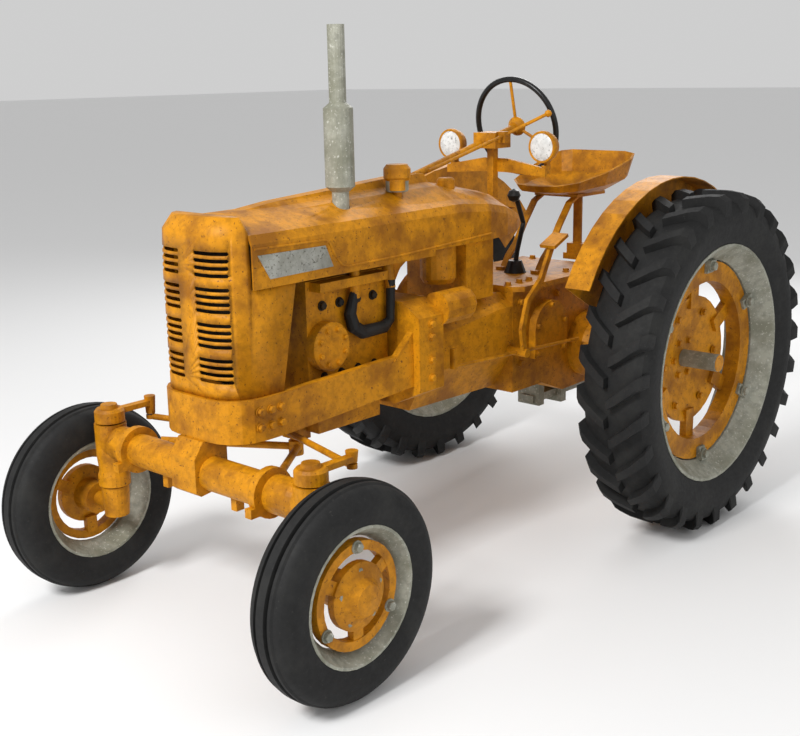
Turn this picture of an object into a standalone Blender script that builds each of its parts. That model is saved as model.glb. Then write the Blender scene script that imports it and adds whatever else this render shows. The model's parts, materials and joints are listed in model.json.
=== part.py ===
"""A row-crop farm tractor with a wide front axle, as separate pieces on real joints.

Metres, +X forward, +Y to the driver's left, +Z up. Every piece is placed in the tractor's own frame, whose
origin is on the ground under the rear axle. The empty "tractor" moves that frame back, so that the world
origin is the middle of the footprint.
"""

import math

import bmesh
import bpy
from mathutils import Matrix, Vector

# Overall sizes
WHEELBASE = 2.066
REAR_TREAD = 1.544
FRONT_TREAD = 1.390

# Tyres: outer radius, section width, and the rim radius where the bead sits
REAR_TYRE_RADIUS = 0.7206
REAR_TYRE_WIDTH = 0.292
REAR_RIM_RADIUS = 0.504
FRONT_TYRE_RADIUS = 0.3625
FRONT_TYRE_WIDTH = 0.165
FRONT_RIM_RADIUS = 0.232

# Rear wheel: cast disc, spokes and the channel ring that carries the rim
REAR_DISC_RADIUS = 0.272
REAR_RING_INNER = 0.340
REAR_RING_OUTER = 0.425
REAR_SPOKES = 6
AXLE_SHAFT_RADIUS = 0.036
AXLE_SHAFT_END = 0.110  # past the middle of the tyre

# Front wheel
FRONT_RING_INNER = 0.147
FRONT_RING_OUTER = 0.178
FRONT_SPOKES = 3
FRONT_HUB_RADIUS = 0.112
STUB_AXLE_RADIUS = 0.028

# Front axle and steering linkage
KINGPIN_SPREAD = 1.084
KINGPIN_SETBACK = 0.012
AXLE_TUBE_RADIUS = 0.060
AXLE_TUBE_Z = 0.615
AXLE_TUBE_HALF = 0.345
CLAMP_RADIUS = 0.086
CLAMP_WIDTH = 0.030
STUB_TUBE_RADIUS = 0.066
SPINDLE_HOUSING_RADIUS = 0.060
SPINDLE_HOUSING_LOW = 0.440
SPINDLE_HOUSING_HIGH = 0.681
KINGPIN_RADIUS = 0.026
KNUCKLE_CAP_TOP = 0.737
STEERING_ARM = 0.185
STEERING_PIVOT_SETBACK = 0.166  # centre arm's pivot behind the front axle
LEFT_ROD_Z = 0.692
RIGHT_ROD_Z = 0.662
TIE_ROD_RADIUS = 0.012
ARM_LOW = 0.7095
ARM_HIGH = 0.7295

# Chassis
FRAME_HALF = 0.222
FRAME_REAR_HALF = 0.250
FRAME_WALL = 0.030
FRAME_LOW = 0.735
FRAME_HIGH = 0.885
NOSE_REACH = 0.024  # band's front ahead of the front axle
NOSE_CORNER = 0.140
FLYWHEEL_FRONT = 1.226
FLYWHEEL_REAR = 1.086
FLYWHEEL_HALF = 0.280
BELL_REAR = 0.556
CASE_REAR = -0.160
CASE_HALF = 0.215
CASE_LOW = 0.600
DECK_TOP = 1.056
DECK_THICK = 0.022
DECK_HALF = 0.250
HOUSING_END = 0.600  # outer end of each rear axle housing
ENGINE_REAR = 1.240
ENGINE_FRONT = 1.660
ENGINE_HALF = 0.130

# Sheet metal
HOOD_HALF = 0.215
HOOD_LOW = 1.250
HOOD_SHOULDER = 1.440
HOOD_TOP = 1.488
HOOD_FRONT = 1.970
HOOD_REAR = 1.050
SHEET = 0.006
GRILLE_LEDGE = 0.014  # grille shell inside the nose band's outline
GRILLE_REAR_TOP = 1.776
GRILLE_REAR_LOW = 1.851
TANK_LOW = 1.272
TUNNEL_HALF = 0.045
TUNNEL_RISE = 0.036

# Controls
SHAFT_SLOPE = math.radians(13.3)
WHEEL_HUB = Vector((0.246, 0.0, 1.695))
STEERING_WHEEL_RADIUS = 0.205
STEERING_RIM = 0.0125
STEERING_SHAFT_RADIUS = 0.015
STEERING_SHAFT_LENGTH = 0.700

# Clearances
TOUCH = 0.0003  # between pieces that touch
BEARING = 0.0006  # round a pin or a shaft
RUNNING = 0.006  # round a moving piece

REAR_AXLE_X = (REAR_TYRE_RADIUS - FRONT_TYRE_RADIUS - WHEELBASE) / 2
KINGPIN_X = WHEELBASE - KINGPIN_SETBACK
KINGPIN_Y = KINGPIN_SPREAD / 2
CENTRE_PIVOT_X = WHEELBASE - STEERING_PIVOT_SETBACK
SIDES = (("left", 1), ("right", -1))

for old in list(bpy.data.objects):
    bpy.data.objects.remove(old)

TRACTOR = bpy.data.objects.new("tractor", None)
TRACTOR.location = (REAR_AXLE_X, 0, 0)
bpy.context.collection.objects.link(TRACTOR)


def paint(name, colour, roughness, metallic):
    material = bpy.data.materials.new(name)
    material.use_nodes = True
    shader = material.node_tree.nodes["Principled BSDF"]
    shader.inputs["Base Color"].default_value = (*colour, 1)
    shader.inputs["Roughness"].default_value = roughness
    shader.inputs["Metallic"].default_value = metallic
    return material


ORANGE = (0.48, 0.19, 0.01)
STEEL = (0.42, 0.42, 0.36)
BLACK = (0.012, 0.012, 0.012)


# ---------------------------------------------------------------- shapes


def place(name, mesh_data, smooth=False):
    """An object of the scene from a bmesh, with its faces turned outwards."""
    bmesh.ops.recalc_face_normals(mesh_data, faces=mesh_data.faces)
    mesh = bpy.data.meshes.new(name)
    mesh_data.to_mesh(mesh)
    mesh_data.free()
    if smooth:
        mesh.shade_smooth()
        mesh.set_sharp_from_angle(angle=math.radians(35))
    piece = bpy.data.objects.new(name, mesh)
    bpy.context.collection.objects.link(piece)
    piece.parent = TRACTOR
    return piece


def loft(name, loops, smooth=False, closed=False):
    """A skin over loops of as many points each; its ends are capped unless it closes on itself."""
    shape = bmesh.new()
    rings = [[shape.verts.new(point) for point in loop] for loop in loops]
    pairs = list(zip(rings, rings[1:]))
    if closed:
        pairs.append((rings[-1], rings[0]))
    for one, two in pairs:
        for i in range(len(one)):
            j = (i + 1) % len(one)
            shape.faces.new((one[i], one[j], two[j], two[i]))
    if not closed:
        shape.faces.new(rings[0])
        shape.faces.new(rings[-1])
    return place(name, shape, smooth)


def prism(name, outline, axis, start, stop):
    """An outline given in the two other axes, in X, Y, Z order, extruded along axis."""
    spread = {
        "X": lambda a, b, c: (c, a, b),
        "Y": lambda a, b, c: (a, c, b),
        "Z": lambda a, b, c: (a, b, c),
    }[axis]
    return loft(name, [[spread(a, b, c) for a, b in outline] for c in (start, stop)])


def box(name, low, high):
    outline = ((low[0], low[1]), (high[0], low[1]), (high[0], high[1]), (low[0], high[1]))
    return prism(name, outline, "Z", low[2], high[2])


def turned(name, profile, centre, axis, sides, start=0.0, sweep=math.tau):
    """A profile of (radius, place along the axis) turned round the axis through centre."""
    across, up, along = {
        "X": (Vector((0, 1, 0)), Vector((0, 0, 1)), Vector((1, 0, 0))),
        "Y": (Vector((1, 0, 0)), Vector((0, 0, 1)), Vector((0, 1, 0))),
        "Z": (Vector((1, 0, 0)), Vector((0, 1, 0)), Vector((0, 0, 1))),
    }[axis]
    centre = Vector(centre)
    whole = sweep > math.tau - 1e-6
    turns = [start + sweep * i / sides for i in range(sides if whole else sides + 1)]
    shape = bmesh.new()
    lines = []
    for radius, height in profile:
        middle = centre + along * height
        if radius == 0:
            lines.append([shape.verts.new(middle)] * len(turns))
            continue
        spots = [middle + radius * (math.cos(a) * across + math.sin(a) * up) for a in turns]
        lines.append([shape.verts.new(spot) for spot in spots])
    hollow = profile[0][0] > 0 and profile[-1][0] > 0
    pairs = list(zip(lines, lines[1:]))
    if hollow:
        pairs.append((lines[-1], lines[0]))
    steps = len(turns) if whole else len(turns) - 1
    for one, two in pairs:
        for i in range(steps):
            j = (i + 1) % len(turns)
            corners = []
            for corner in (one[i], one[j], two[j], two[i]):
                if corner not in corners:
                    corners.append(corner)
            if len(corners) > 2:
                shape.faces.new(corners)
    if not whole:
        shape.faces.new([line[0] for line in lines])
        shape.faces.new([line[-1] for line in lines])
    return place(name, shape, smooth=True)


def tube(name, points, radius, sides=12):
    """A round bar through the points, with flat ends."""
    points = [Vector(point) for point in points]
    radii = radius if isinstance(radius, (list, tuple)) else [radius] * len(points)
    loops = []
    side = None
    for i, point in enumerate(points):
        ahead = points[min(i + 1, len(points) - 1)] - point
        behind = point - points[max(i - 1, 0)]
        way = (ahead.normalized() + behind.normalized()).normalized()
        if side is None:
            side = way.orthogonal().normalized()
        side = (side - way * side.dot(way)).normalized()
        other = way.cross(side)
        turns = [math.tau * k / sides for k in range(sides)]
        loops.append([point + radii[i] * (math.cos(a) * side + math.sin(a) * other) for a in turns])
    return loft(name, loops, smooth=True)


def arc(centre, radius, start, stop, steps):
    """Points on an arc from start to stop degrees, both ends included."""
    turns = [math.radians(start + (stop - start) * i / steps) for i in range(steps + 1)]
    return [(centre[0] + radius * math.cos(a), centre[1] + radius * math.sin(a)) for a in turns]


def strip(points, thick):
    """The outline of a bent strip of metal along the points of its middle line."""
    points = [Vector(point) for point in points]
    left, right = [], []
    for i, point in enumerate(points):
        ahead = points[min(i + 1, len(points) - 1)] - point
        behind = point - points[max(i - 1, 0)]
        way = (ahead.normalized() + behind.normalized()).normalized()
        across = Vector((-way.y, way.x)) * thick / 2
        left.append(tuple(point + across))
        right.append(tuple(point - across))
    return left + right[::-1]


def helper(piece):
    piece.hide_render = True
    piece.display_type = "WIRE"
    return piece


def combine(piece, operation, others):
    for other in others:
        modifier = piece.modifiers.new(operation.lower(), "BOOLEAN")
        modifier.operation = operation
        modifier.solver = "EXACT"
        modifier.object = helper(other)
    return piece


def join(piece, *others):
    return combine(piece, "UNION", others)


def cut(piece, *others):
    return combine(piece, "DIFFERENCE", others)


def dress(piece, colour, roughness=0.55, metallic=0.0, joint=None):
    """Gives a piece its own material and, if it moves, its origin on its joint's axis."""
    piece.data.materials.clear()
    piece.data.materials.append(paint(piece.name, colour, roughness, metallic))
    if joint is not None:
        piece.data.transform(Matrix.Translation(-Vector(joint)))
        piece.location = joint
    return piece


def mirrored(points, side):
    return [(x, y * side, z) for x, y, z in points]


# ---------------------------------------------------------------- wheels


def rear_wheel(label, side):
    middle = side * REAR_TREAD / 2
    centre = (0, middle, REAR_TYRE_RADIUS)
    half = REAR_TYRE_WIDTH / 2
    bead = REAR_RIM_RADIUS
    tread = REAR_TYRE_RADIUS
    profile = [
        (bead, -0.42 * REAR_TYRE_WIDTH),
        (bead + 0.07, -half),
        (tread - 0.10, -half),
        (tread - 0.012, -0.80 * half),
        (tread, -0.45 * half),
        (tread, 0.45 * half),
        (tread - 0.012, 0.80 * half),
        (tread - 0.10, half),
        (bead + 0.07, half),
        (bead, 0.42 * REAR_TYRE_WIDTH),
    ]
    tyre = turned(f"rear_tyre_{label}", profile, centre, "Y", 48)
    dress(tyre, BLACK, 0.85, joint=centre)

    edge = 0.42 * REAR_TYRE_WIDTH - 0.002
    seat_radius = bead - TOUCH * 3
    well = REAR_RING_OUTER + 0.024
    profile = [
        (seat_radius, -edge),
        (seat_radius, edge),
        (seat_radius - 0.012, edge),
        (well - 0.018, 0.040),
        (well - 0.018, -0.040),
        (seat_radius - 0.012, -edge),
    ]
    rim = turned(f"rear_rim_{label}", profile, centre, "Y", 48)
    dress(rim, STEEL, 0.6, 0.7, joint=centre)

    out = side
    ring_low, ring_high = -0.034, 0.034
    profile = [
        (REAR_RING_INNER, ring_low),
        (REAR_RING_OUTER, ring_low),
        (REAR_RING_OUTER, ring_low + 0.012),
        (REAR_RING_INNER + 0.022, ring_low + 0.012),
        (REAR_RING_INNER + 0.022, ring_high - 0.012),
        (REAR_RING_OUTER, ring_high - 0.012),
        (REAR_RING_OUTER, ring_high),
        (REAR_RING_INNER, ring_high),
    ]
    disc = turned(f"rear_wheel_disc_{label}", profile, centre, "Y", 40)
    reach = REAR_TREAD / 2 - HOUSING_END - TOUCH
    plate = [
        (0, -reach * out),
        (0.085, -reach * out),
        (0.085, -0.090 * out),
        (REAR_DISC_RADIUS, -0.045 * out),
        (REAR_DISC_RADIUS, -0.022 * out),
        (0.115, -0.062 * out),
        (AXLE_SHAFT_RADIUS, -0.062 * out),
        (AXLE_SHAFT_RADIUS, AXLE_SHAFT_END * out),
        (0, AXLE_SHAFT_END * out),
    ]
    shapes = [turned(f"disc_plate_{label}", plate, centre, "Y", 32)]
    for k in range(REAR_SPOKES):
        angle = math.tau * (k + 0.5) / REAR_SPOKES
        spoke = box(
            f"disc_spoke_{label}_{k}",
            (REAR_DISC_RADIUS - 0.050, -0.046 if out > 0 else 0.016, -0.032),
            (REAR_RING_INNER + 0.012, -0.016 if out > 0 else 0.046, 0.032),
        )
        spoke.data.transform(Matrix.Rotation(-angle, 4, "Y"))
        spoke.data.transform(Matrix.Translation(centre))
        shapes.append(spoke)
    join(disc, *shapes)
    dress(disc, ORANGE, joint=centre)
    for shape in shapes:
        shape.data.transform(Matrix.Translation(-Vector(centre)))
        shape.location = centre


def front_wheel(label, side):
    middle = side * FRONT_TREAD / 2
    centre = (WHEELBASE, middle, FRONT_TYRE_RADIUS)
    half = FRONT_TYRE_WIDTH / 2
    bead = FRONT_RIM_RADIUS
    tread = FRONT_TYRE_RADIUS
    profile = [
        (bead, -0.45 * FRONT_TYRE_WIDTH),
        (bead + 0.05, -half),
        (tread - 0.045, -half),
        (tread - 0.008, -0.62 * half),
        (tread, -0.30 * half),
        (tread, 0.30 * half),
        (tread - 0.008, 0.62 * half),
        (tread - 0.045, half),
        (bead + 0.05, half),
        (bead, 0.45 * FRONT_TYRE_WIDTH),
    ]
    dress(turned(f"front_tyre_{label}", profile, centre, "Y", 40), BLACK, 0.85, joint=centre)

    edge = 0.45 * FRONT_TYRE_WIDTH - 0.002
    seat_radius = bead - TOUCH * 3
    profile = [
        (seat_radius, -edge),
        (seat_radius, edge),
        (seat_radius - 0.010, edge),
        (FRONT_RING_OUTER + 0.006, 0.012),
        (FRONT_RING_OUTER + 0.006, -0.012),
        (seat_radius - 0.010, -edge),
    ]
    dress(turned(f"front_rim_{label}", profile, centre, "Y", 40), STEEL, 0.6, 0.7, joint=centre)

    ring = [
        (FRONT_RING_INNER, 0.010),
        (FRONT_RING_OUTER, 0.010),
        (FRONT_RING_OUTER, 0.050),
        (FRONT_RING_INNER, 0.050),
    ]
    hub = turned(f"front_wheel_hub_{label}", ring, centre, "Y", 32)
    bore = STUB_AXLE_RADIUS + BEARING
    inner = -side * 0.060
    outer = side * 0.078
    cap = side * 0.100
    mouth = side * 0.056
    plate = [
        (bore, inner),
        (0.060, inner),
        (0.064, side * 0.020),
        (FRONT_HUB_RADIUS, side * 0.030),
        (FRONT_HUB_RADIUS, side * 0.056),
        (0.068, outer),
        (0.050, cap),
        (0, cap + side * 0.006),
        (0, mouth),
        (bore, mouth),
    ]
    plate = plate[-2:-1] + plate[-1:] + plate[:-2]
    shapes = [turned(f"hub_plate_{label}", plate, centre, "Y", 32)]
    for k in range(FRONT_SPOKES):
        angle = math.radians(-90) + math.tau * k / FRONT_SPOKES
        low = 0.022 if side > 0 else 0.012
        spoke = box(f"hub_spoke_{label}_{k}", (FRONT_HUB_RADIUS - 0.020, low, -0.022),
                    (FRONT_RING_INNER + 0.010, low + 0.026, 0.022))
        if side < 0:
            spoke.data.transform(Matrix.Translation((0, -0.044, 0)))
        spoke.data.transform(Matrix.Rotation(-angle, 4, "Y"))
        spoke.data.transform(Matrix.Translation(centre))
        shapes.append(spoke)
    if side < 0:
        for vertex in hub.data.vertices:
            vertex.co.y = 2 * middle - vertex.co.y
        hub.data.flip_normals()
    join(hub, *shapes)
    dress(hub, ORANGE, joint=centre)
    for shape in shapes:
        shape.data.transform(Matrix.Translation(-Vector(centre)))
        shape.location = centre


# ---------------------------------------------------------------- front axle and steering


def front_axle():
    half = AXLE_TUBE_HALF
    reach = half + CLAMP_WIDTH
    profile = [
        (0, -reach),
        (CLAMP_RADIUS, -reach),
        (CLAMP_RADIUS, -half),
        (AXLE_TUBE_RADIUS, -half),
        (AXLE_TUBE_RADIUS, half),
        (CLAMP_RADIUS, half),
        (CLAMP_RADIUS, reach),
        (0, reach),
    ]
    axle = turned("front_axle", profile, (WHEELBASE, 0, AXLE_TUBE_Z), "Y", 24)
    outline = ((1.998, 0.560), (2.120, 0.545), (2.140, 0.560), (2.140, 0.680), (2.100, FRAME_LOW - TOUCH), (1.998, FRAME_LOW - TOUCH))
    block = prism("axle_block", outline, "Y", -0.066, 0.066)
    feet = [
        box(f"axle_foot_{label}", (2.046, min(side * 0.172, side * 0.200), 0.512),
            (2.080, max(side * 0.172, side * 0.200), 0.580))
        for label, side in SIDES
    ]
    ears = [
        box(f"clamp_ear_{label}", (2.098, min(side * half, side * reach), 0.552),
            (2.166, max(side * half, side * reach), 0.584))
        for label, side in SIDES
    ]
    dress(join(axle, block, *feet, *ears), ORANGE)

    for label, side in SIDES:
        start = half + CLAMP_WIDTH + TOUCH
        stub = turned(
            f"axle_end_{label}",
            [(0, side * start), (STUB_TUBE_RADIUS, side * start), (STUB_TUBE_RADIUS, side * 0.478),
             (SPINDLE_HOUSING_RADIUS, side * 0.500), (SPINDLE_HOUSING_RADIUS, side * KINGPIN_Y), (0, side * KINGPIN_Y)],
            (KINGPIN_X, 0, AXLE_TUBE_Z - 0.005), "Y", 24)
        spindle = (KINGPIN_X, side * KINGPIN_Y, 0)
        housing = [(0, SPINDLE_HOUSING_LOW), (SPINDLE_HOUSING_RADIUS, SPINDLE_HOUSING_LOW),
                   (SPINDLE_HOUSING_RADIUS, SPINDLE_HOUSING_LOW + 0.04), (SPINDLE_HOUSING_RADIUS - 0.006, 0.50),
                   (SPINDLE_HOUSING_RADIUS, 0.56), (SPINDLE_HOUSING_RADIUS, SPINDLE_HOUSING_HIGH),
                   (0, SPINDLE_HOUSING_HIGH)]
        post = turned(f"spindle_housing_{label}", housing, spindle, "Z", 24)
        bore = KINGPIN_RADIUS + BEARING
        hole = turned(f"kingpin_bore_{label}", [(0, 0.3), (bore, 0.3), (bore, 0.8), (0, 0.8)], spindle, "Z", 24)
        dress(cut(join(stub, post), hole), ORANGE)

    rods = []
    for label, side in SIDES:
        rods.append(tube(f"stay_rod_{label}", mirrored([(1.992, 0.318, 0.640), (1.620, 0.012, 0.585)], side), 0.014))
    ball = turned("radius_rods", [(0, 0.545), (0.028, 0.555), (0.028, 0.610), (0, 0.620)], (1.615, 0, 0), "Z", 16)
    dress(join(ball, *rods), BLACK, 0.7)


def knuckle(label, side):
    pin = (KINGPIN_X, side * KINGPIN_Y, 0)
    base = FRONT_TYRE_RADIUS
    low = SPINDLE_HOUSING_LOW - RUNNING
    profile = [
        (0, base - 0.045),
        (0.046, base - 0.045),
        (0.052, low - 0.030),
        (0.052, low),
        (KINGPIN_RADIUS, low),
        (KINGPIN_RADIUS, SPINDLE_HOUSING_HIGH + RUNNING),
        (0.056, SPINDLE_HOUSING_HIGH + RUNNING),
        (0.056, KNUCKLE_CAP_TOP - 0.010),
        (0.048, KNUCKLE_CAP_TOP),
        (0.034, KNUCKLE_CAP_TOP),
        (0.030, KNUCKLE_CAP_TOP + 0.016),
        (0, KNUCKLE_CAP_TOP + 0.016),
    ]
    body = turned(f"knuckle_{label}", profile, pin, "Z", 24)
    stub = turned(
        f"stub_axle_{label}",
        [(0, side * KINGPIN_Y), (STUB_AXLE_RADIUS, side * KINGPIN_Y),
         (STUB_AXLE_RADIUS, side * (FRONT_TREAD / 2 + 0.050)), (0, side * (FRONT_TREAD / 2 + 0.050))],
        (WHEELBASE, 0, base), "Y", 24)
    ball_x = KINGPIN_X - STEERING_ARM
    rod_z = LEFT_ROD_Z if side > 0 else RIGHT_ROD_Z
    arm = box(f"knuckle_arm_{label}", (ball_x, pin[1] - 0.017, ARM_LOW), (KINGPIN_X - 0.030, pin[1] + 0.017, ARM_HIGH))
    stud_low = rod_z + 0.008 + RUNNING
    stud = turned(f"ball_stud_{label}", [(0, stud_low), (0.018, stud_low), (0.022, 0.745), (0, 0.745)],
                  (ball_x, pin[1], 0), "Z", 16)
    shapes = [stub, arm, stud]
    join(body, *shapes)
    dress(body, ORANGE, joint=pin)
    for shape in shapes:
        shape.data.transform(Matrix.Translation(-Vector(pin)))
        shape.location = pin


def steering_linkage():
    pivot = (CENTRE_PIVOT_X, 0, 0)
    ball_x = CENTRE_PIVOT_X - STEERING_ARM
    profile = [(0, ARM_LOW - 0.030), (0.030, ARM_LOW - 0.030), (0.034, ARM_LOW), (0.034, ARM_HIGH),
               (0.020, ARM_HIGH), (0.020, 0.745), (0, 0.745)]
    arm = turned("centre_steering_arm", profile, pivot, "Z", 20)
    pin_low = RIGHT_ROD_Z - 0.012
    shapes = [
        box("centre_arm_bar", (ball_x, -0.018, ARM_LOW), (CENTRE_PIVOT_X - 0.010, 0.018, ARM_HIGH)),
        turned("centre_arm_eye", [(0, ARM_LOW), (0.022, ARM_LOW), (0.022, ARM_HIGH), (0, ARM_HIGH)],
               (ball_x, 0, 0), "Z", 16),
        turned("centre_arm_pin", [(0, pin_low), (0.008, pin_low), (0.008, ARM_LOW + 0.005), (0, ARM_LOW + 0.005)],
               (ball_x, 0, 0), "Z", 16),
    ]
    join(arm, *shapes)
    dress(arm, ORANGE, joint=pivot)
    for shape in shapes:
        shape.data.transform(Matrix.Translation(-Vector(pivot)))
        shape.location = pivot

    for (label, side), height in zip(SIDES, (LEFT_ROD_Z, RIGHT_ROD_Z)):
        inner = Vector((ball_x, 0, height))
        outer = Vector((KINGPIN_X - STEERING_ARM, side * KINGPIN_Y, height))
        way = (outer - inner).normalized()
        rod = tube(f"tie_rod_{label}", [inner + 0.018 * way, outer - 0.012 * way], TIE_ROD_RADIUS)
        thick = 0.008
        eye = turned(f"rod_eye_{label}", [(0, -thick), (0.020, -thick), (0.020, thick), (0, thick)], inner, "Z", 16)
        end = turned(f"rod_end_{label}", [(0, -thick), (0.018, -thick), (0.018, thick), (0, thick)], outer, "Z", 16)
        bore = 0.008 + BEARING
        hole = turned(f"rod_bore_{label}", [(0, -0.05), (bore, -0.05), (bore, 0.05), (0, 0.05)], inner, "Z", 16)
        cut(join(rod, eye, end), hole)
        dress(rod, ORANGE, joint=inner)
        for shape in (eye, end, hole):
            shape.data.transform(Matrix.Translation(-inner))
            shape.location = inner


def steering_wheel():
    axis = bpy.data.objects.new("steering_axis", None)
    axis.location = WHEEL_HUB
    axis.rotation_euler = (0, -(math.pi / 2 - SHAFT_SLOPE), 0)
    axis.parent = TRACTOR
    bpy.context.collection.objects.link(axis)
    rim = [(STEERING_WHEEL_RADIUS + x, z) for x, z in arc((0, 0), STEERING_RIM, 0, 315, 7)]
    wheel = turned("steering_wheel", rim, (0, 0, 0), "Z", 40)
    hub = [(0, -0.022), (0.026, -0.022), (0.042, 0.0), (0.042, 0.012), (0.020, 0.026), (0, 0.026)]
    shapes = [turned("wheel_boss", hub, (0, 0, 0), "Z", 24)]
    for k in range(3):
        angle = math.tau * k / 3
        tip = Vector((math.cos(angle), math.sin(angle), 0)) * STEERING_WHEEL_RADIUS
        shapes.append(tube(f"wheel_spoke_{k}", [tip * 0.12, tip], 0.007, 8))
    join(wheel, *shapes)
    shaft = turned(
        "steering_shaft",
        [(0, -STEERING_SHAFT_LENGTH), (STEERING_SHAFT_RADIUS, -STEERING_SHAFT_LENGTH),
         (STEERING_SHAFT_RADIUS, -0.0223), (0, -0.0223)],
        (0, 0, 0), "Z", 20)
    dress(wheel, BLACK, 0.4)
    dress(shaft, ORANGE)
    for piece in (wheel, shaft, *shapes):
        piece.parent = axis


# ---------------------------------------------------------------- frame and drive line


def nose_outline(inset, rear):
    """The U of the nose in plan, from the right rear round the front to the left rear."""
    half = FRAME_HALF - inset
    front = WHEELBASE + NOSE_REACH - inset
    radius = NOSE_CORNER - inset
    right = arc((front - radius, -(half - radius)), radius, -90, 0, 5)
    left = arc((front - radius, half - radius), radius, 0, 90, 5)
    return [(rear, -half)] + right + left + [(rear, half)]


def front_frame():
    rear = 1.850
    band = prism("front_frame", nose_outline(0, rear), "Z", FRAME_LOW, FRAME_HIGH)
    inside = prism("frame_inside", nose_outline(FRAME_WALL, rear - 0.1), "Z", FRAME_LOW - 0.01, FRAME_HIGH + 0.01)
    cut(band, inside)
    dress(band, ORANGE)
    start, end = rear - TOUCH, FLYWHEEL_FRONT + TOUCH
    for label, side in SIDES:
        sections = [
            [(x, side * (outer - FRAME_WALL), low), (x, side * outer, low), (x, side * outer, high),
             (x, side * (outer - FRAME_WALL), high)]
            for x, outer, low, high in ((start, FRAME_HALF, FRAME_LOW, FRAME_HIGH), (end, FRAME_REAR_HALF, 0.775, 0.912))
        ]
        rail = loft(f"frame_rail_{label}", sections)
        low, high = sorted((side * (FRAME_REAR_HALF - FRAME_WALL), side * (FRAME_REAR_HALF - 0.002)))
        gusset = prism(f"frame_gusset_{label}", ((end, 0.890), (1.336, 0.890), (end, 0.985)), "Y", low, high)
        dress(join(rail, gusset), ORANGE)

    edge = FRAME_HALF - FRAME_WALL - TOUCH
    outline = ((-edge, 0.752), (edge, 0.752), (edge, 0.842), (-edge, 0.842))
    bolster = prism("steering_bolster", outline, "X", 1.920, 1.9490)
    profile = [(0, 0.7505), (0.045, 0.7505), (0.045, 0.850), (0.055, 0.880), (0, 0.880)]
    gear = turned("steering_gear", profile, (CENTRE_PIVOT_X, 0, 0), "Z", 20)
    bridge = box("bolster_bridge", (CENTRE_PIVOT_X, -0.030, 0.765), (1.930, 0.030, 0.840))
    dress(join(bolster, gear, bridge), ORANGE)


def drive_line():
    half = FLYWHEEL_HALF
    outline = [(-half, 0.752), (-half, 1.038), (-0.190, 1.095), (0.190, 1.095), (half, 1.038), (half, 0.752),
               (0.150, 0.690), (-0.150, 0.690)]
    dress(prism("flywheel_housing", outline, "X", FLYWHEEL_REAR, FLYWHEEL_FRONT), ORANGE)

    def bell(x, wide, top):
        flank = 0.780
        return [(x, -wide * 0.55, 0.620), (x, -wide, flank), (x, -wide, top - 0.055), (x, -wide * 0.7, top),
                (x, wide * 0.7, top), (x, wide, top - 0.055), (x, wide, flank), (x, wide * 0.55, 0.620)]

    sections = [bell(FLYWHEEL_REAR - TOUCH, 0.175, 0.975), bell(0.900, 0.190, 0.990), bell(0.640, 0.214, 1.030),
                bell(BELL_REAR + TOUCH, 0.214, 1.030)]
    dress(loft("clutch_housing", sections), ORANGE)

    top = DECK_TOP - DECK_THICK - TOUCH
    outline = ((BELL_REAR, CASE_LOW), (BELL_REAR, top), (CASE_REAR, top), (CASE_REAR, 0.60), (-0.10, 0.540),
               (0.18, 0.535), (0.34, CASE_LOW))
    case = prism("transmission_case", outline, "Y", -CASE_HALF, CASE_HALF)
    outline = [(0.200, 0.730), (0.440, 0.730)] + arc((0.320, 0.850), 0.120, 0, 180, 8)
    dress(join(case, prism("side_covers", outline, "Y", -0.250, 0.250)), ORANGE)

    outline = ((-0.150, -DECK_HALF), (0.520, -DECK_HALF), (0.556, -0.215), (0.556, 0.215), (0.520, DECK_HALF),
               (-0.150, DECK_HALF))
    dress(prism("deck_plate", outline, "Z", DECK_TOP - DECK_THICK, DECK_TOP), ORANGE)

    for label, side in SIDES:
        start = CASE_HALF + TOUCH
        profile = [(0, start), (0.150, start), (0.150, 0.240), (0.105, 0.262), (0.086, 0.330), (0.080, 0.555),
                   (0.108, 0.565), (0.108, HOUSING_END), (0, HOUSING_END)]
        profile = [(radius, side * along) for radius, along in profile]
        dress(turned(f"axle_housing_{label}", profile, (0, 0, REAR_TYRE_RADIUS), "Y", 24), ORANGE)

    bar = box("drawbar", (-0.690, -0.035, 0.430), (0.150, 0.035, 0.465))
    hanger = box("drawbar_hanger", (-0.080, -0.060, 0.400), (-0.040, 0.060, 0.5384))
    front_hanger = box("drawbar_front", (0.100, -0.060, 0.420), (0.140, 0.060, 0.5347))
    hitch = turned("hitch_hole", [(0, 0.3), (0.014, 0.3), (0.014, 0.6), (0, 0.6)], (-0.655, 0, 0), "Z", 16)
    dress(cut(join(bar, hanger, front_hanger), hitch), STEEL, 0.6, 0.7)


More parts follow.
